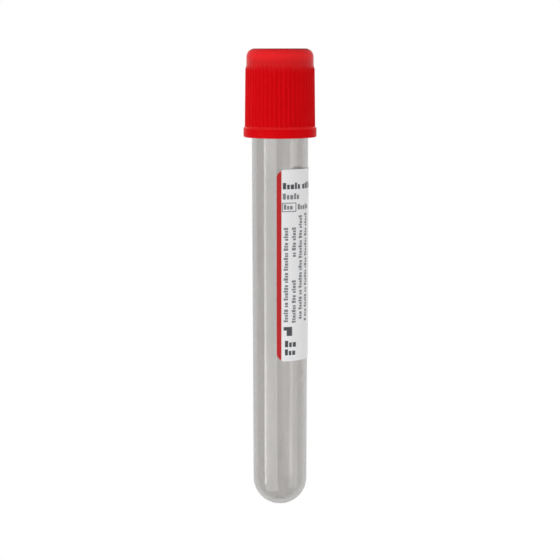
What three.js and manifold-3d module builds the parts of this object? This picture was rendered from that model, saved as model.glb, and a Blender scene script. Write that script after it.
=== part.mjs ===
// Blood collection tube, 13 mm by 100 mm, for a 6 mL draw, with a push-on safety closure.
//
// The tube is a clear injection-moulded plastic vessel with a round bottom. A paper label is stuck to it.
// The closure is two pieces: a rubber stopper that seals the bore, and a ribbed plastic shield that covers
// the stopper and the tube's neck. The shield's inner ledge sits in the stopper's waist, so both come off
// together in one pull.
//
// Lengths are millimetres. Every piece is made about the tube's own axis, with z = 0 at the round bottom and
// z = TUBE_LENGTH at the open rim. The angle phi runs round that axis, and phi = 0 is the front, where the
// label's coloured edge is. The tube can't stand on its round bottom, and it rolls when it lies, so the last
// lines stand the assembly on its closure's flat crown, with the front still towards -y.

import * as THREE from "three";
import { mergeVertices, toCreasedNormals } from "three/addons/utils/BufferGeometryUtils.js";
import Module from "manifold-3d";

const wasm = await Module();
wasm.setup();

// ---------------------------------------------------------------- driving dimensions

const TUBE_LENGTH = 100;
const TUBE_RIM_RADIUS = 6.5; // 13 mm nominal, measured under the closure
const TUBE_FOOT_RADIUS = 6.25; // the outside narrows towards the bottom so that it leaves the mould
const TUBE_WALL = 1.0;
const RIM_ROUND = 0.2;
const GATE_RADIUS = 1.1; // the recess that keeps the moulding gate's stub off a bench top
const GATE_DEPTH = 0.25;
const GATE_STUB_RADIUS = 0.4;

const LABEL_WIDTH = 18; // measured round the tube
const LABEL_HEIGHT = 44;
const LABEL_BELOW_CLOSURE = 7;
const LABEL_THICKNESS = 0.1;
const LABEL_CORNER = 2;
const LABEL_GLUE = 0.03; // adhesive film between paper and tube
const LABEL_START = THREE.MathUtils.degToRad(-7);

const SHIELD_HEIGHT = 20;
const SHIELD_ABOVE_RIM = 6.2;
const SHIELD_SKIRT_RADIUS = 7.85; // between the ribs
const SHIELD_SHOULDER_RADIUS = 7.65; // the sides lean in a little towards the crown
const SHIELD_BORE_RADIUS = 7.0;
const SHIELD_DRAFT = 0.12; // how much wider the bore is at the skirt's mouth
const COLLAR_RADIUS = 8.35;
const COLLAR_HEIGHT = 2.2;
const COLLAR_ROUND = 0.35;
const MOUTH_CHAMFER = 0.3;
const CROWN_FLAT_RADIUS = 5.9; // where the flat top starts to round over into the side
const CROWN_ROUND = 2.0; // height of that rounding
const CROWN_THICKNESS = 1.3;
const WELL_RADIUS = 4.75; // the opening in the crown through which the needle reaches the stopper
const WELL_LIP = 0.3;
const WELL_WALL = 0.9;
const LEDGE_RADIUS = 3.7;
const LEDGE_THICKNESS = 1.1;

const RIB_COUNT = 48;
const RIB_HEIGHT = 0.2;
const RIB_FOOT = 0.6; // share of the pitch that a rib covers where it leaves the skirt
const RIB_CREST = 0.34; // share of the pitch along its crest
const RIB_BELOW_CROWN = 3.8;
const RIB_RUNOUT = 0.9; // the length over which a rib's upper end fades into the shoulder
const RIB_ROOT = SHIELD_SHOULDER_RADIUS - 0.2; // the ribs reach this far into the skirt that carries them
const RIB_TIP = SHIELD_SKIRT_RADIUS + RIB_HEIGHT + 0.1; // and this far out before they are trimmed

const STOPPER_FLANGE_RADIUS = 6.8;
const STOPPER_FLANGE = 1.9;
const STOPPER_PLUG_LENGTH = 8.2;
const STOPPER_PLUG_NOSE = 0.9; // lead-in at the plug's lower end
const STOPPER_HEAD = 1.35;
const STOPPER_ROUND = 0.25;
const STOPPER_DISH_RADIUS = 3.4;
const STOPPER_DISH_DEPTH = 1.0;
const STOPPER_CAVITY_MOUTH = 2.8;
const STOPPER_CAVITY_END = 2.3;
const STOPPER_CAVITY_DEPTH = 7.4;

const SEAT = 0.05; // clearance between pieces that bear on each other
const SIDES = 48; // round the axis: each facet is within 0.02 mm of the true circle
const FOOT_STEPS = 9; // along each quarter circle of the round bottom
const CROWN_STEPS = 6;
const CAVITY_STEPS = 5;
const DISH_STEPS = 5;

// ---------------------------------------------------------------- heights along the axis

const FOOT_CENTRE = TUBE_FOOT_RADIUS;
const CROWN_TOP = TUBE_LENGTH + SHIELD_ABOVE_RIM;
const SKIRT_END = CROWN_TOP - SHIELD_HEIGHT;
const COLLAR_TOP = SKIRT_END + COLLAR_HEIGHT;
const FLANGE_TOP = TUBE_LENGTH + SEAT + STOPPER_FLANGE;
const LEDGE_BOTTOM = FLANGE_TOP + SEAT;
const LEDGE_TOP = LEDGE_BOTTOM + LEDGE_THICKNESS;
const HEAD_BOTTOM = LEDGE_TOP + SEAT;
const HEAD_TOP = HEAD_BOTTOM + STOPPER_HEAD;
const PLUG_END = TUBE_LENGTH - STOPPER_PLUG_LENGTH;
const RIB_TOP = CROWN_TOP - RIB_BELOW_CROWN;
const LABEL_TOP = SKIRT_END - LABEL_BELOW_CLOSURE;

// Radius of the tube's tapered outside at height z; the bore follows it one wall further in.
function tubeRadius(z) {
  const share = (z - FOOT_CENTRE) / (TUBE_LENGTH - FOOT_CENTRE);
  return THREE.MathUtils.lerp(TUBE_FOOT_RADIUS, TUBE_RIM_RADIUS, share);
}

function boreRadius(z) {
  return tubeRadius(z) - TUBE_WALL;
}

// ---------------------------------------------------------------- making solids

// A profile is a list of (radius, height) points that runs anticlockwise round the material.
function point(radius, height) {
  return [new THREE.Vector2(radius, height)];
}

// Part of a circle or ellipse in a profile, with its angles in degrees from the outward direction.
function arc(radius, height, [reachOut, reachUp], [from, to], steps) {
  const angles = [from, to].map(THREE.MathUtils.degToRad);
  return new THREE.EllipseCurve(radius, height, reachOut, reachUp, ...angles, to < from).getPoints(steps);
}

function roundArc(radius, height, reach, span, steps = 2) {
  return arc(radius, height, [reach, reach], span, steps);
}

// Turns a profile about the z axis. The half-step start puts a flat facet at the front and the back.
function turned(profile, sides = SIDES) {
  const geometry = new THREE.LatheGeometry(profile.flat(), sides, Math.PI / sides);
  return geometry.rotateX(Math.PI / 2);
}

function toSolid(geometry) {
  const plain = geometry.clone();
  plain.deleteAttribute("normal");
  plain.deleteAttribute("uv");
  const merged = mergeVertices(plain, 1e-4);
  return new wasm.Manifold(
    new wasm.Mesh({
      numProp: 3,
      vertProperties: new Float32Array(merged.attributes.position.array),
      triVerts: new Uint32Array(merged.index.array),
    }),
  );
}

function toGeometry(solid) {
  const { vertProperties, triVerts } = solid.getMesh();
  const geometry = new THREE.BufferGeometry();
  geometry.setAttribute("position", new THREE.BufferAttribute(vertProperties, 3));
  geometry.setIndex(new THREE.BufferAttribute(triVerts, 1));
  return toCreasedNormals(geometry, THREE.MathUtils.degToRad(30));
}

function mesh(name, geometry, look) {
  const made = new THREE.Mesh(geometry, new THREE.MeshStandardMaterial(look));
  made.name = name;
  return made;
}

// ---------------------------------------------------------------- tube

function makeTube() {
  const innerFoot = TUBE_FOOT_RADIUS - TUBE_WALL;
  const mouth = boreRadius(TUBE_LENGTH);
  const rimStart = TUBE_LENGTH - RIM_ROUND;
  const gateAngle = THREE.MathUtils.radToDeg(Math.asin(GATE_RADIUS / TUBE_FOOT_RADIUS));
  const gateEdge = FOOT_CENTRE - Math.sqrt(TUBE_FOOT_RADIUS ** 2 - GATE_RADIUS ** 2);
  const gateFloor = gateEdge + GATE_DEPTH;
  const profile = [
    point(0, gateEdge),
    point(GATE_STUB_RADIUS, gateEdge),
    point(GATE_STUB_RADIUS, gateFloor),
    point(GATE_RADIUS - GATE_DEPTH, gateFloor),
    roundArc(0, FOOT_CENTRE, TUBE_FOOT_RADIUS, [gateAngle - 90, 0], FOOT_STEPS),
    roundArc(TUBE_RIM_RADIUS - RIM_ROUND, rimStart, RIM_ROUND, [0, 90]),
    roundArc(mouth + RIM_ROUND, rimStart, RIM_ROUND, [90, 180]),
    roundArc(0, FOOT_CENTRE, innerFoot, [0, -90], FOOT_STEPS),
  ];
  return mesh("tube", turned(profile), {
    color: 0xdfe5e8,
    roughness: 0.08,
    metalness: 0,
    transparent: true,
    opacity: 0.35,
  });
}

// ---------------------------------------------------------------- label

// The paper is a strip of columns round the tube. A column stands `across` mm along the label's width, and
// is shorter by `inset` at both ends where it crosses a rounded corner.
function labelColumns() {
  const cornerSteps = 4;
  const flatSteps = 30;
  const corner = Array.from({ length: cornerSteps }, (_, i) => {
    const turn = (i / cornerSteps) * (Math.PI / 2);
    return { across: LABEL_CORNER * (1 - Math.cos(turn)), inset: LABEL_CORNER * (1 - Math.sin(turn)) };
  });
  const flat = Array.from({ length: flatSteps + 1 }, (_, i) => ({
    across: THREE.MathUtils.lerp(LABEL_CORNER, LABEL_WIDTH - LABEL_CORNER, i / flatSteps),
    inset: 0,
  }));
  const farCorner = corner.map(({ across, inset }) => ({ across: LABEL_WIDTH - across, inset })).reverse();
  return [...corner, ...flat, ...farCorner];
}

function makeLabel() {
  const anglePerMm = 1 / tubeRadius(LABEL_TOP - LABEL_HEIGHT / 2);
  const positions = [];
  const index = [];
  const columns = labelColumns();
  for (const { across, inset } of columns) {
    const phi = LABEL_START + across * anglePerMm;
    const low = LABEL_TOP - LABEL_HEIGHT + inset;
    const high = LABEL_TOP - inset;
    for (const [z, lift] of [[low, 0], [low, LABEL_THICKNESS], [high, LABEL_THICKNESS], [high, 0]]) {
      const radius = tubeRadius(z) + LABEL_GLUE + lift;
      positions.push(radius * Math.sin(phi), -radius * Math.cos(phi), z);
    }
  }
  const quad = (a, b, c, d) => index.push(a, b, c, a, c, d);
  for (let column = 0; column < columns.length - 1; column += 1) {
    const here = 4 * column;
    const next = here + 4;
    for (let side = 0; side < 4; side += 1) {
      const other = (side + 1) % 4;
      quad(here + side, next + side, next + other, here + other);
    }
  }
  const last = 4 * (columns.length - 1);
  quad(0, 1, 2, 3);
  quad(last + 3, last + 2, last + 1, last);
  const geometry = new THREE.BufferGeometry();
  geometry.setAttribute("position", new THREE.Float32BufferAttribute(positions, 3));
  geometry.setIndex(index);
  return mesh("label", toCreasedNormals(geometry, THREE.MathUtils.degToRad(30)), {
    color: 0xf2f2f5,
    roughness: 0.55,
    metalness: 0,
  });
}

// ---------------------------------------------------------------- closure shield

// The skirt, crown, needle well and ledge are one moulding, so one profile goes round all of it and closes.
function shieldBody() {
  const mouth = SHIELD_BORE_RADIUS + SHIELD_DRAFT;
  const bevel = (COLLAR_RADIUS - SHIELD_SKIRT_RADIUS) / 2;
  const crownReach = [SHIELD_SHOULDER_RADIUS - CROWN_FLAT_RADIUS, CROWN_ROUND];
  const innerWall = WELL_RADIUS + WELL_WALL;
  const pocketTop = CROWN_TOP - CROWN_THICKNESS;
  const profile = [
    point(mouth + MOUTH_CHAMFER, SKIRT_END),
    roundArc(COLLAR_RADIUS - COLLAR_ROUND, SKIRT_END + COLLAR_ROUND, COLLAR_ROUND, [-90, 0]),
    point(COLLAR_RADIUS, COLLAR_TOP),
    point(SHIELD_SKIRT_RADIUS, COLLAR_TOP + bevel),
    arc(CROWN_FLAT_RADIUS, CROWN_TOP - CROWN_ROUND, crownReach, [0, 90], CROWN_STEPS),
    roundArc(WELL_RADIUS + WELL_LIP, CROWN_TOP - WELL_LIP, WELL_LIP, [90, 180]),
    point(WELL_RADIUS, LEDGE_TOP),
    point(LEDGE_RADIUS, LEDGE_TOP),
    point(LEDGE_RADIUS, LEDGE_BOTTOM),
    point(innerWall, LEDGE_BOTTOM),
    point(innerWall, pocketTop),
    point(SHIELD_BORE_RADIUS, pocketTop),
    point(mouth, SKIRT_END + MOUTH_CHAMFER),
    point(mouth + MOUTH_CHAMFER, SKIRT_END),
  ];
  return toSolid(turned(profile));
}

// The ribs from above, as the teeth of a disc. Their flanks are straight, so a rib's width changes evenly
// with the radius.
function ribSection() {
  const pitch = THREE.MathUtils.degToRad(360 / RIB_COUNT);
  const taper = (RIB_FOOT - RIB_CREST) / RIB_HEIGHT;
  const corners = [];
  for (let rib = 0; rib < RIB_COUNT; rib += 1) {
    for (const [radius, side] of [[RIB_ROOT, -1], [RIB_TIP, -1], [RIB_TIP, 1], [RIB_ROOT, 1]]) {
      const share = RIB_FOOT - taper * (radius - SHIELD_SKIRT_RADIUS);
      const phi = (rib + (side * share) / 2) * pitch;
      corners.push(new THREE.Vector2(radius * Math.sin(phi), -radius * Math.cos(phi)));
    }
  }
  return new THREE.Shape(corners);
}

// A turned envelope trims the toothed disc. The crests follow the skirt's lean, and fade into its shoulder.
function gripRibs() {
  const length = RIB_TOP - COLLAR_TOP;
  const teeth = new THREE.ExtrudeGeometry(ribSection(), { depth: length, bevelEnabled: false });
  teeth.translate(0, 0, COLLAR_TOP);
  const envelope = [
    point(RIB_ROOT, COLLAR_TOP),
    point(SHIELD_SKIRT_RADIUS + RIB_HEIGHT, COLLAR_TOP),
    point(SHIELD_SHOULDER_RADIUS + RIB_HEIGHT, RIB_TOP - RIB_RUNOUT),
    point(RIB_ROOT, RIB_TOP),
    point(RIB_ROOT, COLLAR_TOP),
  ];
  return toSolid(teeth).intersect(toSolid(turned(envelope, RIB_COUNT)));
}

function makeShield() {
  return mesh("closure_shield", toGeometry(shieldBody().add(gripRibs())), {
    color: 0xc8040c,
    roughness: 0.3,
    metalness: 0,
  });
}

// ---------------------------------------------------------------- stopper

function makeStopper() {
  const plugTop = boreRadius(TUBE_LENGTH) - SEAT;
  const plugNose = boreRadius(PLUG_END) - 2 * SEAT;
  const headEdge = WELL_RADIUS - 2 * SEAT - STOPPER_ROUND;
  const waist = LEDGE_RADIUS - SEAT;
  const flangeBottom = TUBE_LENGTH + SEAT;
  const flangeEdge = STOPPER_FLANGE_RADIUS - STOPPER_ROUND;
  const dishSphere = (STOPPER_DISH_RADIUS ** 2 + STOPPER_DISH_DEPTH ** 2) / (2 * STOPPER_DISH_DEPTH);
  const dishCentre = HEAD_TOP - STOPPER_DISH_DEPTH + dishSphere;
  const dishSpan = THREE.MathUtils.radToDeg(Math.asin(STOPPER_DISH_RADIUS / dishSphere));
  const cavityShoulder = PLUG_END + STOPPER_CAVITY_DEPTH - STOPPER_CAVITY_END;
  const profile = [
    roundArc(0, cavityShoulder, STOPPER_CAVITY_END, [90, 0], CAVITY_STEPS),
    point(STOPPER_CAVITY_MOUTH, PLUG_END),
    point(plugNose - STOPPER_PLUG_NOSE / 2, PLUG_END),
    point(plugNose, PLUG_END + STOPPER_PLUG_NOSE),
    point(plugTop, flangeBottom),
    roundArc(flangeEdge, flangeBottom + STOPPER_ROUND, STOPPER_ROUND, [-90, 0]),
    roundArc(flangeEdge, FLANGE_TOP - STOPPER_ROUND, STOPPER_ROUND, [0, 90]),
    point(waist, FLANGE_TOP),
    point(waist, HEAD_BOTTOM),
    point(headEdge + STOPPER_ROUND, HEAD_BOTTOM),
    roundArc(headEdge, HEAD_TOP - STOPPER_ROUND, STOPPER_ROUND, [0, 90]),
    roundArc(0, dishCentre, dishSphere, [dishSpan - 90, -90], DISH_STEPS),
  ];
  return mesh("stopper", turned(profile), {
    color: 0x9c1418,
    roughness: 0.65,
    metalness: 0,
  });
}

// ---------------------------------------------------------------- standing on the closure

const assembly = new THREE.Group();
assembly.add(makeTube(), makeLabel(), makeShield(), makeStopper());
assembly.rotation.y = Math.PI;
assembly.position.z = CROWN_TOP;

const bloodTube = new THREE.Group();
bloodTube.add(assembly);

export default bloodTube;
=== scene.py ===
from itertools import cycle, islice
from math import asin, cos, pi, radians, sin, sqrt

import bpy
from mathutils import Matrix, Vector


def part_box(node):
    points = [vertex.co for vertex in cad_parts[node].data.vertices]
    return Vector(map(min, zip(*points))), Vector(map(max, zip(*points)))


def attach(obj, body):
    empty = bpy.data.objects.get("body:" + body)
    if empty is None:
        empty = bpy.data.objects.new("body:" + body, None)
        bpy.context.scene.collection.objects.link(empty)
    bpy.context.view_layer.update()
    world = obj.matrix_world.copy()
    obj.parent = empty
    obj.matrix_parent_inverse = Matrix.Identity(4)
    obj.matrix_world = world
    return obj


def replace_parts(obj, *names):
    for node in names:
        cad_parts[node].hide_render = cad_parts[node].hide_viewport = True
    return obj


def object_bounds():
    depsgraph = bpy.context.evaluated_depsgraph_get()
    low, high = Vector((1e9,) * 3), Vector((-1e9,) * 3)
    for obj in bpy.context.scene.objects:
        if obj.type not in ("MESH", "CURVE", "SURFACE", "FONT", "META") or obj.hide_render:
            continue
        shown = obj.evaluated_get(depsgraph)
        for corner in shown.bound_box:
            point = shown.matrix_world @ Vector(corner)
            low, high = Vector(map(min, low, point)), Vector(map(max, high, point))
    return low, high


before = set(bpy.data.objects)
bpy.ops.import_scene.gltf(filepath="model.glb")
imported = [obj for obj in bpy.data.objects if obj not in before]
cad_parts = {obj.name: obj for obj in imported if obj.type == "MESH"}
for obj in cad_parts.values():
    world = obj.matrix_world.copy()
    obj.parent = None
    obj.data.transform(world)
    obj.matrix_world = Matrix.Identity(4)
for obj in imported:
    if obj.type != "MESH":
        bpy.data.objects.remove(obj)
cad_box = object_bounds()

# ---------------------------------------------------------------- tube
# One clear PET moulding, a millimetre thick, with a round bottom and a square-cut rim. It is polished
# outside, and a coat that helps blood to clot was sprayed on inside, where it dried to a faint, uneven haze.
# Every piece is turned about the tube's own axis, in millimetres, with height 0 at the bottom's lowest
# point, and is then stood on the closure's flat crown.

MM = 0.001
TUBE_LENGTH = 100
TUBE_RIM_RADIUS = 6.5
TUBE_FOOT_RADIUS = 6.25
TUBE_WALL = 1.0
RIM_ROUND = 0.2
GATE_RADIUS = 1.1
GATE_DEPTH = 0.25
GATE_STUB_RADIUS = 0.4
GATE_STUB_CROWN = 0.05
CROWN_TOP = 106.2
CREASE = radians(40)

floor_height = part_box("closure_shield")[0].z
standing = Matrix.Translation((0, 0, floor_height + CROWN_TOP * MM)) @ Matrix.Rotation(pi, 4, "Y")


def tube_radius(height):
    share = (height - TUBE_FOOT_RADIUS) / (TUBE_LENGTH - TUBE_FOOT_RADIUS)
    return TUBE_FOOT_RADIUS + share * (TUBE_RIM_RADIUS - TUBE_FOOT_RADIUS)


def bore_radius(height):
    return tube_radius(height) - TUBE_WALL


def arc(radius, height, reach, start, end, steps):
    """Points on part of a circle in a section, from start to end in degrees from the outward direction."""
    angles = [radians(start + (end - start) * step / steps) for step in range(steps + 1)]
    return [(radius + reach * cos(angle), height + reach * sin(angle)) for angle in angles]


def straight(start, end, steps):
    """The points from start up to, but not at, end."""
    shares = [step / steps for step in range(steps)]
    return [tuple(a + (b - a) * share for a, b in zip(start, end)) for share in shares]


def even_turns(sides):
    return [2 * pi * side / sides for side in range(sides)]


def turned(profile, turns, relief=None):
    """Points and faces of a profile turned about the axis. The profile runs anticlockwise round the material,
    and either starts and ends on the axis or closes on itself. Relief moves a point in or out."""
    closed = profile[0] == profile[-1]
    points, rings, faces = [], [], []
    for radius, height in profile[:-1] if closed else profile:
        if radius < 1e-6:
            rings.append([len(points)] * len(turns))
            points.append((0, 0, height))
            continue
        rings.append(range(len(points), len(points) + len(turns)))
        for turn in turns:
            reach = relief(radius, height, turn) if relief else radius
            points.append((reach * sin(turn), -reach * cos(turn), height))
    pairs = list(zip(rings, rings[1:])) + ([(rings[-1], rings[0])] if closed else [])
    for low, high in pairs:
        for here in range(len(turns)):
            following = (here + 1) % len(turns)
            face = (low[here], low[following], high[following], high[here])
            faces.append(tuple(dict.fromkeys(face)))
    return points, faces


def solid(name, points, faces, finish, slot, body):
    """A piece of the model from points in millimetres, stood up with the tube."""
    mesh = bpy.data.meshes.new(name)
    mesh.from_pydata([(x * MM, y * MM, z * MM) for x, y, z in points], [], faces)
    mesh.shade_smooth()
    mesh.set_sharp_from_angle(angle=CREASE)
    mesh.materials.append(finish.material)
    piece = bpy.data.objects.new(name, mesh)
    bpy.context.scene.collection.objects.link(piece)
    piece.matrix_world = standing
    piece.modifiers.new("even shading", "WEIGHTED_NORMAL").keep_sharp = True
    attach(piece, body)
    return piece


class Wire:
    """A socket in a node tree. Sums on wires add the Math nodes that work them out."""

    def __init__(self, tree, socket):
        self.tree = tree
        self.socket = socket

    def __add__(self, other):
        return self.tree.math("ADD", self, other)

    def __sub__(self, other):
        return self.tree.math("SUBTRACT", self, other)

    def __rsub__(self, other):
        return self.tree.math("SUBTRACT", other, self)

    def __mul__(self, other):
        return self.tree.math("MULTIPLY", self, other)

    __radd__ = __add__
    __rmul__ = __mul__


class Tree:
    """The nodes of a material or of the world."""

    def __init__(self, owner):
        owner.use_nodes = True
        self.nodes = owner.node_tree.nodes
        self.links = owner.node_tree.links

    def node(self, kind, settings=None, sockets=None, output=0):
        made = self.nodes.new(kind)
        for setting, value in (settings or {}).items():
            if setting == "stops":
                for stop, (place, shade) in zip(made.color_ramp.elements, value):
                    stop.position = place
                    stop.color = (shade, shade, shade, 1)
            else:
                setattr(made, setting, value)
        for socket, value in (sockets or {}).items():
            self.feed(made.inputs[socket], value)
        return Wire(self, made.outputs[output])

    def feed(self, socket, value):
        if isinstance(value, Wire):
            self.links.new(value.socket, socket)
        else:
            socket.default_value = value

    def math(self, operation, first, second):
        return self.node("ShaderNodeMath", {"operation": operation}, {0: first, 1: second})

    def ramp(self, value, *stops):
        return self.node("ShaderNodeValToRGB", {"stops": stops}, {"Fac": value})

    def blend(self, share, first, second):
        """A colour between two. The node has a set of sockets for each kind of value: 6 and 7 are colours."""
        return self.node("ShaderNodeMix", {"data_type": "RGBA"}, {0: share, 6: first, 7: second}, output=2)

    def rays(self, *kinds):
        """1 for light rays of these kinds, else 0."""
        return sum(self.node("ShaderNodeLightPath", output=kind) for kind in kinds)


class Finish(Tree):
    """A surface finish: a Principled shader with its constants, and the nodes that vary it."""

    def __init__(self, name, constants):
        self.material = bpy.data.materials.new(name)
        super().__init__(self.material)
        self.shader = self.nodes["Principled BSDF"]
        for socket, value in constants.items():
            self.shader.inputs[socket].default_value = value

    def noise(self, scale, detail, stretch=(1, 1, 1)):
        place = self.node("ShaderNodeTexCoord", output="Object")
        where = self.node("ShaderNodeMapping", {}, {"Vector": place, "Scale": stretch})
        return self.node("ShaderNodeTexNoise", {}, {"Vector": where, "Scale": scale, "Detail": detail})

    def vary(self, socket, value):
        self.feed(self.shader.inputs[socket], value)

    def bump(self, height, depth):
        sockets = {"Height": height, "Distance": depth, "Strength": 1}
        self.vary("Normal", self.node("ShaderNodeBump", {}, sockets))


PET = {"Base Color": (0.46, 0.449, 0.438, 1), "Roughness": 0.03, "IOR": 1.57, "Transmission Weight": 1.0}
polished_pet = Finish("polished_pet", PET)
polished_pet.vary("Roughness", 0.02 + 0.04 * polished_pet.noise(900, 3, (1, 1, 0.2)))
polished_pet.bump(polished_pet.noise(260, 2, (1, 1, 0.15)), 0.00002)
coated_pet = Finish("coated_pet", PET)
coat = coated_pet.noise(420, 4, (1, 1, 0.12))
streaks = coated_pet.ramp(coat, (0.3, 0), (0.7, 1))
coated_pet.vary("Base Color", coated_pet.blend(streaks, (0.72, 0.705, 0.69, 1), (0.92, 0.91, 0.90, 1)))
coated_pet.vary("Roughness", 0.04 + 0.16 * coat)
coated_pet.bump(coat, 0.00003)

gate_angle = asin(GATE_RADIUS / TUBE_FOOT_RADIUS)
gate_edge = TUBE_FOOT_RADIUS * (1 - cos(gate_angle))
gate_floor = gate_edge + GATE_DEPTH
inner_foot = TUBE_FOOT_RADIUS - TUBE_WALL
rim_start = TUBE_LENGTH - RIM_ROUND
tube_outside = (
    [(0, gate_edge + GATE_STUB_CROWN), (GATE_STUB_RADIUS * 0.7, gate_edge + 0.6 * GATE_STUB_CROWN)]
    + [(GATE_STUB_RADIUS, gate_edge + 2 * GATE_STUB_CROWN), (GATE_STUB_RADIUS, gate_floor)]
    + [(GATE_RADIUS - GATE_DEPTH, gate_floor)]
    + arc(0, TUBE_FOOT_RADIUS, TUBE_FOOT_RADIUS, gate_angle * 180 / pi - 90, 0, 32)[:-1]
    + straight((TUBE_FOOT_RADIUS, TUBE_FOOT_RADIUS), (TUBE_RIM_RADIUS, rim_start), 24)
    + arc(TUBE_RIM_RADIUS - RIM_ROUND, rim_start, RIM_ROUND, 0, 90, 6)
)
tube_inside = (
    arc(bore_radius(TUBE_LENGTH) + RIM_ROUND, rim_start, RIM_ROUND, 90, 180, 6)[:-1]
    + straight((bore_radius(TUBE_LENGTH), rim_start), (inner_foot, TUBE_FOOT_RADIUS), 24)
    + arc(0, TUBE_FOOT_RADIUS, inner_foot, 0, -90, 32)
)
tube_turns = even_turns(192)
tube_mesh = turned(tube_outside + tube_inside, tube_turns)
clear_tube = solid("clear_tube", *tube_mesh, polished_pet, "clear_plastic", "tube_body")
clear_tube.data.materials.append(coated_pet.material)
for face in clear_tube.data.polygons[len(tube_outside) * len(tube_turns) :]:
    face.material_index = 1
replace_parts(clear_tube, "tube")

# ---------------------------------------------------------------- label
# White label paper stuck round a little less than half the tube, with its corners rounded by the die that
# cut it. A coloured edge marks the kind of tube, and the small type is kept as bars that can't be read. The
# label starts just beside the front, and its far half has a framed field and is otherwise bare.

SKIRT_END = 86.2
LABEL_WIDTH = 18
LABEL_HEIGHT = 44
LABEL_TOP = SKIRT_END - 7
LABEL_LOW = LABEL_TOP - LABEL_HEIGHT
LABEL_THICKNESS = 0.1
LABEL_CORNER = 2
LABEL_GLUE = 0.03
LABEL_START = radians(-7)
PRINT_LIFT = LABEL_THICKNESS - 0.02
PRINT_THICKNESS = 0.032
STRIPE_EDGE = 0.02
STRIPE_WIDTH = 1.1
LABEL_STEP = 0.1
STRIPE_STEP = 0.07
BAR_STEP = 0.3

WORD_LETTERS = (5, 3, 7, 4, 6, 2)
LETTER_WIDTHS = (0.5, 0.42, 0.55, 0.36, 0.45)
LETTER_HEIGHTS = (1.0, 0.72, 0.72, 1.0, 0.72, 0.72, 0.86)
LETTER_GAP = 0.16
WORD_GAP = 0.35
FRAME_LINE = 0.2


def wrapped(columns, lift, thickness):
    """Points and faces of a thin sheet round the tube, from columns of (across, low, high)."""
    turn_per_mm = 1 / tube_radius(LABEL_TOP - LABEL_HEIGHT / 2)
    points, faces = [], []
    for across, low, high in columns:
        turn = LABEL_START + across * turn_per_mm
        for height, depth in ((low, 0), (low, thickness), (high, thickness), (high, 0)):
            reach = tube_radius(height) + LABEL_GLUE + lift + depth
            points.append((reach * sin(turn), -reach * cos(turn), height))
    for here in range(0, 4 * len(columns) - 4, 4):
        for side in range(4):
            other = (side + 1) % 4
            faces.append((here + side, here + 4 + side, here + 4 + other, here + other))
    last = 4 * len(columns) - 4
    return points, faces + [(0, 1, 2, 3), (last + 3, last + 2, last + 1, last)]


def label_columns(start, end, step, edge=0.0):
    """Columns that fill the label from start to end across it, short of its outline by edge."""
    count = round((end - start) / step)
    columns = []
    for across in (start + (end - start) * column / count for column in range(count + 1)):
        inward = max(0, LABEL_CORNER - min(across, LABEL_WIDTH - across))
        inset = LABEL_CORNER - sqrt(LABEL_CORNER**2 - inward**2) + edge
        columns.append((across, LABEL_LOW + inset, LABEL_TOP - inset))
    return columns


def box(left, right, top, end):
    """One printed bar, by how far its sides are across the label and how far its ends are down it."""
    count = max(1, round((right - left) / BAR_STEP))
    places = [left + (right - left) * column / count for column in range(count + 1)]
    return [(across, LABEL_TOP - end, LABEL_TOP - top) for across in places]


def small_type(left, top, length, size, downward=False):
    """Bars the size of letters, in a line that runs across the label or down it."""
    bars, place = [], 0
    widths, heights = cycle(LETTER_WIDTHS), cycle(LETTER_HEIGHTS)
    for letters in cycle(WORD_LETTERS):
        for width, height in islice(zip(widths, heights), letters):
            end = place + width * size
            if end > length:
                return bars
            short = size * (1 - height)
            if downward:
                bars.append(box(left + short, left + size, top + place, top + end))
            else:
                bars.append(box(left + place, left + end, top + short, top + size))
            place = end + LETTER_GAP * size
        place += WORD_GAP * size


def printed_frame(left, right, top, end):
    """A printed rectangle, drawn as four thin bars."""
    level = [box(left, right, top, top + FRAME_LINE), box(left, right, end - FRAME_LINE, end)]
    sides = (left, right - FRAME_LINE)
    return level + [box(side, side + FRAME_LINE, top + FRAME_LINE, end - FRAME_LINE) for side in sides]


def printed(name, patches, ink):
    points, faces = [], []
    for columns in patches:
        more_points, more_faces = wrapped(columns, PRINT_LIFT, PRINT_THICKNESS)
        faces += [tuple(corner + len(points) for corner in face) for face in more_faces]
        points += more_points
    solid(name, points, faces, ink, "label_paper", "tube_body")


def paper(name, light_through):
    """Label paper, where light_through is how readily light comes through it from behind."""
    sheet = Finish(name, {"Base Color": (0.88, 0.88, 0.90, 1), "Roughness": 0.45, "IOR": 1.45})
    sheet.shader.inputs["Subsurface Weight"].default_value = light_through
    sheet.shader.inputs["Subsurface Radius"].default_value = (1, 1, 1)
    sheet.shader.inputs["Subsurface Scale"].default_value = 0.6 * MM
    fibres = sheet.noise(2500, 4, (1, 1, 0.6))
    sheet.vary("Base Color", sheet.blend(fibres, (0.86, 0.86, 0.88, 1), (0.91, 0.91, 0.92, 1)))
    sheet.bump(fibres, 0.00003)
    return sheet


def ink(name, thin, full, specular):
    """Printing ink, which covers the paper a little unevenly, between the colours thin and full."""
    print_ink = Finish(name, {"Base Color": full, "Roughness": 0.48, "Specular IOR Level": specular})
    print_ink.vary("Base Color", print_ink.blend(print_ink.noise(2400, 3), full, thin))
    return print_ink


label_mesh = wrapped(label_columns(0, LABEL_WIDTH, LABEL_STEP), 0, LABEL_THICKNESS)
paper_label = solid("paper_label", *label_mesh, paper("label_paper", 0.45), "label_paper", "tube_body")
paper_label.data.materials.append(paper("label_back", 1).material)
for back in list(paper_label.data.polygons)[3:-2:4]:
    back.material_index = 1
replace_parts(paper_label, "label")

stripe = label_columns(STRIPE_EDGE, STRIPE_WIDTH, STRIPE_STEP, STRIPE_EDGE)
printed("coloured_edge", [stripe], ink("red_ink", (0.46, 0.015, 0.017, 1), (0.38, 0.009, 0.011, 1), 0.2))

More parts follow.
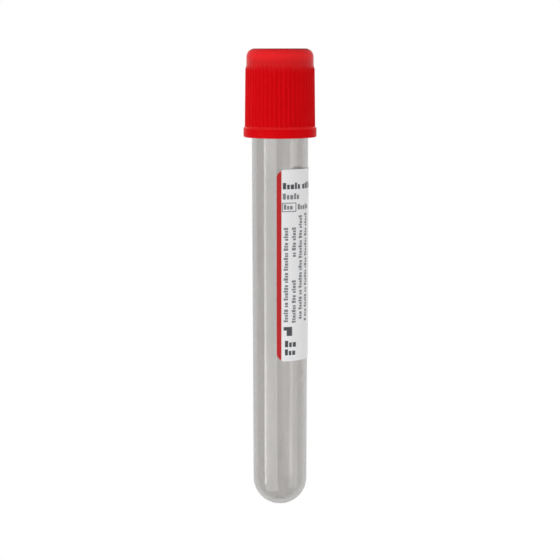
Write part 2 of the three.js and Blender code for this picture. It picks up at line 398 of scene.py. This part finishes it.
bold_lines = [(1.4, 3.0, 15.0, 1.45), (1.9, 39.2, 3.0, 1.5), (1.9, 41.2, 2.8, 1.4), (16.2, 40.1, 0.7, 1.1)]
marker = [box(1.6, 2.3, 36.0, 36.8), box(2.3, 3.6, 36.0, 38.1)]
bold_print = sum((small_type(*line) for line in bold_lines), marker)
printed("bold_print", bold_print, ink("dark_ink", (0.07, 0.07, 0.08, 1), (0.035, 0.035, 0.04, 1), 0.4))

fine_lines = [(1.4, 5.4, 5.2, 1.35), (1.6, 7.9, 2.6, 1.15), (5.0, 7.9, 4.4, 1.25), (12.6, 40.2, 3.4, 0.9)]
fine_columns = [(1.6, 13.2, 22.2), (3.5, 13.2, 7.1), (3.5, 25.3, 10), (5.3, 10.5, 24.8), (7.2, 10.1, 25.2)]
fine_columns += [(13.0, 10.2, 6.0), (15.1, 10.2, 6.0), (12.8, 41.4, 1.4)]
fine_print = printed_frame(1.2, 4.6, 7.5, 9.6) + printed_frame(12.4, 16.8, 9.6, 16.6)
fine_print += sum((small_type(*line) for line in fine_lines), [])
fine_print += sum((small_type(*column, 1.0, downward=True) for column in fine_columns), [])
printed("fine_print", fine_print, ink("grey_ink", (0.25, 0.25, 0.26, 1), (0.15, 0.15, 0.16, 1), 0.4))

# ---------------------------------------------------------------- closure shield
# One red polyethylene moulding. The skirt has matt grip ribs between a polished shoulder and a proud collar,
# and the crown turns down into the needle well, whose ledge snaps into the stopper's waist. The crown's
# rounding is painted paler as painted light from above, and the collar's upper edge as a painted highlight.

SHIELD_SKIRT_RADIUS = 7.85
SHIELD_SHOULDER_RADIUS = 7.65
SHIELD_BORE_RADIUS = 7.0
SHIELD_DRAFT = 0.12
COLLAR_RADIUS = 8.35
COLLAR_TOP = SKIRT_END + 2.2
COLLAR_ROUND = 0.35
COLLAR_TOP_ROUND = 0.12
COLLAR_TOP_BREAK = 0.1
MOUTH_CHAMFER = 0.3
CROWN_FLAT_RADIUS = 5.9
CROWN_ROUND = 2.0
CROWN_THICKNESS = 1.3
WELL_RADIUS = 4.75
WELL_LIP = 0.3
WELL_WALL = 0.9
LEDGE_RADIUS = 3.7
LEDGE_BOTTOM = 102.0
LEDGE_TOP = 103.1
WELL_FOOT_ROUND = 0.15
LEDGE_ROUND = 0.1
POCKET_ROUND = 0.2
RIB_COUNT = 48
RIB_HEIGHT = 0.2
RIB_CREST = 0.06
RIB_FOOT = 0.34
RIB_TOP = CROWN_TOP - 3.8
RIB_RUNOUT = 0.9
POLISH_START = RIB_TOP - 1.6
POLISH_FULL = RIB_TOP + 0.4
SHOULDER_POLISH = 0.28
# Where the crown's rounding is painted paler as painted light from above, and how strongly.
CROWN_PAINTED_LIGHT_START = CROWN_TOP - 3.2
CROWN_PAINTED_LIGHT_FULL = CROWN_TOP - 1.1
CROWN_PAINTED_LIGHT = 0.7
COLLAR_EDGE = COLLAR_TOP + 0.08
COLLAR_EDGE_REACH = 0.34
COLLAR_POLISH = 0.3


def smooth(low, high, value):
    share = min(1, max(0, (value - low) / (high - low)))
    return share * share * (3 - 2 * share)


def skirt_radius(height):
    share = (height - COLLAR_TOP) / (CROWN_TOP - CROWN_ROUND - COLLAR_TOP)
    return SHIELD_SKIRT_RADIUS + share * (SHIELD_SHOULDER_RADIUS - SHIELD_SKIRT_RADIUS)


def ribbed(radius, height, turn):
    """The skirt's outside with its ribs, which stand out from it and fade into the shoulder."""
    if radius < SHIELD_BORE_RADIUS + 0.4 or not COLLAR_TOP - 0.2 < height < RIB_TOP:
        return radius
    from_crest = abs((turn * RIB_COUNT / (2 * pi) + 0.5) % 1 - 0.5)
    rise = 1 - smooth(RIB_CREST, RIB_FOOT, from_crest)
    fade = 1 - smooth(RIB_TOP - RIB_RUNOUT, RIB_TOP, height)
    return max(radius, skirt_radius(height) + RIB_HEIGHT * rise * fade)


rib_places = [-0.5, -0.4, -0.3, -0.24, -0.18, -0.12, -0.05, 0.05, 0.12, 0.18, 0.24, 0.3, 0.4]
rib_turns = [2 * pi * (rib + place) / RIB_COUNT for rib in range(RIB_COUNT) for place in rib_places]

mouth = SHIELD_BORE_RADIUS + SHIELD_DRAFT
bevel = (COLLAR_RADIUS - SHIELD_SKIRT_RADIUS) / 2
crown_reach = SHIELD_SHOULDER_RADIUS - CROWN_FLAT_RADIUS
inner_wall = WELL_RADIUS + WELL_WALL
pocket_top = CROWN_TOP - CROWN_THICKNESS
fade_start = (skirt_radius(RIB_TOP - RIB_RUNOUT), RIB_TOP - RIB_RUNOUT)
crown_arc = [
    (CROWN_FLAT_RADIUS + crown_reach * (r - CROWN_FLAT_RADIUS), CROWN_TOP - CROWN_ROUND + CROWN_ROUND * z)
    for r, z in arc(CROWN_FLAT_RADIUS, 0, 1, 0, 90, 12)
]
shield_profile = (
    [(mouth + MOUTH_CHAMFER, SKIRT_END)]
    + arc(COLLAR_RADIUS - COLLAR_ROUND, SKIRT_END + COLLAR_ROUND, COLLAR_ROUND, -90, 0, 6)
    + arc(COLLAR_RADIUS - COLLAR_TOP_ROUND, COLLAR_TOP - COLLAR_TOP_ROUND, COLLAR_TOP_ROUND, 0, 60, 4)
    + straight((COLLAR_RADIUS - COLLAR_TOP_BREAK, COLLAR_TOP), (SHIELD_SKIRT_RADIUS, COLLAR_TOP + bevel), 6)
    + straight((SHIELD_SKIRT_RADIUS, COLLAR_TOP + bevel), fade_start, 8)
    + straight(fade_start, (SHIELD_SHOULDER_RADIUS, CROWN_TOP - CROWN_ROUND), 12)
    + crown_arc
    + arc(WELL_RADIUS + WELL_LIP, CROWN_TOP - WELL_LIP, WELL_LIP, 90, 180, 6)
    + arc(WELL_RADIUS - WELL_FOOT_ROUND, LEDGE_TOP + WELL_FOOT_ROUND, WELL_FOOT_ROUND, 0, -90, 4)
    + arc(LEDGE_RADIUS + LEDGE_ROUND, LEDGE_TOP - LEDGE_ROUND, LEDGE_ROUND, 90, 180, 4)
    + arc(LEDGE_RADIUS + LEDGE_ROUND, LEDGE_BOTTOM + LEDGE_ROUND, LEDGE_ROUND, 180, 270, 4)
    + arc(inner_wall - LEDGE_ROUND, LEDGE_BOTTOM + LEDGE_ROUND, LEDGE_ROUND, -90, 0, 4)
    + arc(inner_wall + POCKET_ROUND, pocket_top - POCKET_ROUND, POCKET_ROUND, 180, 90, 4)
    + arc(SHIELD_BORE_RADIUS - POCKET_ROUND, pocket_top - POCKET_ROUND, POCKET_ROUND, 90, 0, 4)
    + [(mouth, SKIRT_END + MOUTH_CHAMFER), (mouth + MOUTH_CHAMFER, SKIRT_END)]
)

red_plastic = Finish(
    "red_plastic",
    {"Base Color": (0.60, 0.001, 0.003, 1), "Roughness": 0.3, "IOR": 1.5, "Specular IOR Level": 0.02},
)
mottle = red_plastic.noise(350, 3)
plain_red = red_plastic.blend(mottle, (0.56, 0.001, 0.003, 1), (0.64, 0.002, 0.005, 1))
place = red_plastic.node("ShaderNodeTexCoord", output="Object")
height = red_plastic.node("ShaderNodeSeparateXYZ", {}, {0: place}, output="Z")
level = red_plastic.node("ShaderNodeVectorMath", {"operation": "MULTIPLY"}, {0: place, 1: (1, 1, 0)})
from_axis = red_plastic.node("ShaderNodeVectorMath", {"operation": "LENGTH"}, {0: level}, output="Value")


def rising(value, start, full):
    """0 where the value is under start and 1 where it is over full, both in millimetres."""
    limits = {"Value": value, "From Min": start * MM, "From Max": full * MM}
    return red_plastic.node("ShaderNodeMapRange", {"interpolation_type": "SMOOTHSTEP"}, limits)


# Masks for the painted light: a painted highlight along the collar's upper edge and painted light from above
# on the crown's rounding. The collar's edge and the shoulder also get a glossier coat.
under_edge = rising(height, COLLAR_EDGE - COLLAR_EDGE_REACH, COLLAR_EDGE)
over_edge = rising(height, COLLAR_EDGE, COLLAR_EDGE + COLLAR_EDGE_REACH)
outside = rising(from_axis, SHIELD_BORE_RADIUS + 0.2, SHIELD_BORE_RADIUS + 0.5)
collar_edge = (under_edge - over_edge) * outside
painted_light = collar_edge + CROWN_PAINTED_LIGHT * rising(height, CROWN_PAINTED_LIGHT_START, CROWN_PAINTED_LIGHT_FULL)
polished = COLLAR_POLISH * collar_edge + SHOULDER_POLISH * rising(height, POLISH_START, POLISH_FULL)
# The paler red is painted light: painted light from above on the crown's rounding and a painted highlight on
# the collar's edge.
red_plastic.vary("Base Color", red_plastic.blend(painted_light, plain_red, (0.88, 0.018, 0.022, 1)))
red_plastic.vary("Coat Weight", polished)
red_plastic.vary("Roughness", 0.24 + 0.12 * red_plastic.noise(1500, 3))
red_plastic.bump(red_plastic.noise(3000, 2), 0.000006)
shield_mesh = turned(shield_profile, rib_turns, ribbed)
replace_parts(solid("red_shield", *shield_mesh, red_plastic, "red_plastic", "closure"), "closure_shield")

# ---------------------------------------------------------------- stopper
# One moulding of dark red rubber: a hollow plug in the bore, a flange on the rim, a waist for the shield's
# ledge, and a dished head, which the needle pierces where it is thinnest.

SEAT = 0.05
FLANGE_RADIUS = 6.8
FLANGE_TOP = LEDGE_BOTTOM - SEAT
FLANGE_ROUND = 0.25
PLUG_END = TUBE_LENGTH - 8.2
PLUG_NOSE = 0.9
HEAD_TOP = LEDGE_TOP + SEAT + 1.35
HEAD_ROUND = 0.25
DISH_RADIUS = 3.4
DISH_DEPTH = 1.0
DISH_EDGE_ROUND = 0.1
CAVITY_MOUTH = 2.8
CAVITY_END = 2.3
CAVITY_MOUTH_ROUND = 0.2
CAVITY_ROOF = PLUG_END + 7.4

plug_nose = bore_radius(PLUG_END) - 2 * SEAT
head_edge = WELL_RADIUS - 2 * SEAT - HEAD_ROUND
dish_sphere = (DISH_RADIUS**2 + DISH_DEPTH**2) / (2 * DISH_DEPTH)
dish_span = asin(DISH_RADIUS / dish_sphere) * 180 / pi
stopper_profile = (
    arc(0, CAVITY_ROOF - CAVITY_END, CAVITY_END, 90, 0, 16)
    + arc(CAVITY_MOUTH + CAVITY_MOUTH_ROUND, PLUG_END + CAVITY_MOUTH_ROUND, CAVITY_MOUTH_ROUND, 180, 270, 4)
    + [(plug_nose - PLUG_NOSE / 2, PLUG_END), (plug_nose, PLUG_END + PLUG_NOSE)]
    + [(bore_radius(TUBE_LENGTH) - SEAT, TUBE_LENGTH + SEAT)]
    + arc(FLANGE_RADIUS - FLANGE_ROUND, TUBE_LENGTH + SEAT + FLANGE_ROUND, FLANGE_ROUND, -90, 0, 5)
    + arc(FLANGE_RADIUS - FLANGE_ROUND, FLANGE_TOP - FLANGE_ROUND, FLANGE_ROUND, 0, 90, 5)
    + [(LEDGE_RADIUS - SEAT, FLANGE_TOP), (LEDGE_RADIUS - SEAT, LEDGE_TOP + SEAT)]
    + [(head_edge + HEAD_ROUND, LEDGE_TOP + SEAT)]
    + arc(head_edge, HEAD_TOP - HEAD_ROUND, HEAD_ROUND, 0, 90, 6)
    + arc(DISH_RADIUS + DISH_EDGE_ROUND, HEAD_TOP - DISH_EDGE_ROUND, DISH_EDGE_ROUND, 90, 120, 3)
    + arc(0, HEAD_TOP - DISH_DEPTH + dish_sphere, dish_sphere, dish_span - 91, -90, 16)
)
rubber = Finish("red_rubber", {"Base Color": (0.40, 0.016, 0.018, 1), "Roughness": 0.6, "IOR": 1.5})
rubber.vary("Base Color", rubber.blend(rubber.noise(700, 3), (0.36, 0.014, 0.016, 1), (0.44, 0.02, 0.022, 1)))
rubber.vary("Roughness", 0.5 + 0.25 * rubber.noise(1200, 3))
rubber.bump(rubber.noise(2600, 4), 0.00002)
stopper_mesh = turned(stopper_profile, even_turns(160))
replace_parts(solid("rubber_stopper", *stopper_mesh, rubber, "red_rubber", "closure"), "stopper")

# ---------------------------------------------------------------- studio
# A white floor in a white room that is darker overhead, with a large soft lamp on one side, a weaker one on
# the other, and a tall narrow one that draws a highlight down the tube.

FLOOR_DROP = 0.00003
FLOOR_REACH = 4
scene = bpy.context.scene

floor_white = Finish("floor_white", {"Roughness": 0.9, "Specular IOR Level": 0, "Emission Strength": 1})
place = floor_white.node("ShaderNodeTexCoord", output="Object")
distance = floor_white.node("ShaderNodeVectorMath", {"operation": "LENGTH"}, {0: place}, output="Value")
glow = floor_white.ramp(distance, (0.02, 0.12), (0.35, 1.0))
direct = floor_white.rays("Is Camera Ray")
indirect = floor_white.rays("Is Glossy Ray", "Is Transmission Ray")
floor_shade = floor_white.blend(indirect, (0.85, 0.85, 0.85, 1), 1 - glow)
floor_white.vary("Base Color", floor_white.blend(direct, floor_shade, (1, 1, 1, 1)))
floor_white.vary("Emission Color", floor_white.blend(direct + indirect, (0, 0, 0, 1), glow))
corners = [(-FLOOR_REACH, -FLOOR_REACH), (FLOOR_REACH, -FLOOR_REACH)]
corners += [(FLOOR_REACH, FLOOR_REACH), (-FLOOR_REACH, FLOOR_REACH)]
floor_mesh = bpy.data.meshes.new("floor")
floor_mesh.from_pydata([(x, y, floor_height - FLOOR_DROP) for x, y in corners], [], [(0, 1, 2, 3)])
floor_mesh.materials.append(floor_white.material)
floor = bpy.data.objects.new("floor", floor_mesh)
scene.collection.objects.link(floor)

low, high = (Vector(corner) for corner in cad_box)
middle = (low + high) / 2


def lamp(name, place, width, height, strength):
    """A soft lamp at place from the middle of the object, aimed at it, giving strength to a surface that
    faces it, where 1 shows a colour as it is written."""
    light = bpy.data.lights.new(name, "AREA")
    light.shape = "RECTANGLE"
    light.size = width
    light.size_y = height
    offset = Vector(place)
    light.energy = strength * pi * pi * offset.length_squared
    made = bpy.data.objects.new(name, light)
    made.location = middle + offset
    made.rotation_euler = offset.to_track_quat("Z", "Y").to_euler()
    scene.collection.objects.link(made)


lamp("key_lamp", (0.45, -0.55, 0.35), 0.8, 0.8, 0.5)
lamp("fill_lamp", (-0.6, -0.35, 0.25), 0.5, 0.5, 0.15)
lamp("strip_lamp", (0.55, -0.25, 0.1), 0.09, 0.34, 0.1)

world = bpy.data.worlds.new("white_room")
scene.world = world
room = Tree(world)
direction = room.node("ShaderNodeTexCoord", output="Generated")
upward = room.node("ShaderNodeSeparateXYZ", {}, {0: direction}, output="Z")
walls = room.node("ShaderNodeBackground", {}, {"Color": room.ramp(upward, (0.1, 0.85), (0.9, 0.45))})
backdrop = room.node("ShaderNodeBackground", {}, {"Color": (1, 1, 1, 1)})
plainly = room.rays("Is Camera Ray", "Is Glossy Ray", "Is Transmission Ray")
shown = room.node("ShaderNodeMixShader", {}, {0: plainly, 1: walls, 2: backdrop})
room.feed(room.nodes["World Output"].inputs["Surface"], shown)

# The camera stands just above the floor, level with the closure's crown, so that the floor is seen edge-on,
# and it is held upside down, so that the closure is at the top of the picture as on an upright tube.
CAMERA_DISTANCE = 0.36
CAMERA_HEIGHT = 0.0002
CAMERA_LENS = 101
CAMERA_SENSOR = 36
camera_data = bpy.data.cameras.new("camera")
camera_data.lens = CAMERA_LENS
camera_data.sensor_width = CAMERA_SENSOR
camera = bpy.data.objects.new("camera", camera_data)
scene.collection.objects.link(camera)
camera.location = (middle.x, middle.y - CAMERA_DISTANCE, floor_height + CAMERA_HEIGHT)
aim = (middle - camera.location).to_track_quat("-Z", "Y").to_matrix()
camera.rotation_euler = (aim @ Matrix.Rotation(pi, 3, "Z")).to_euler()
scene.camera = camera
scene.view_settings.view_transform = "Standard"

bpy.context.view_layer.update()
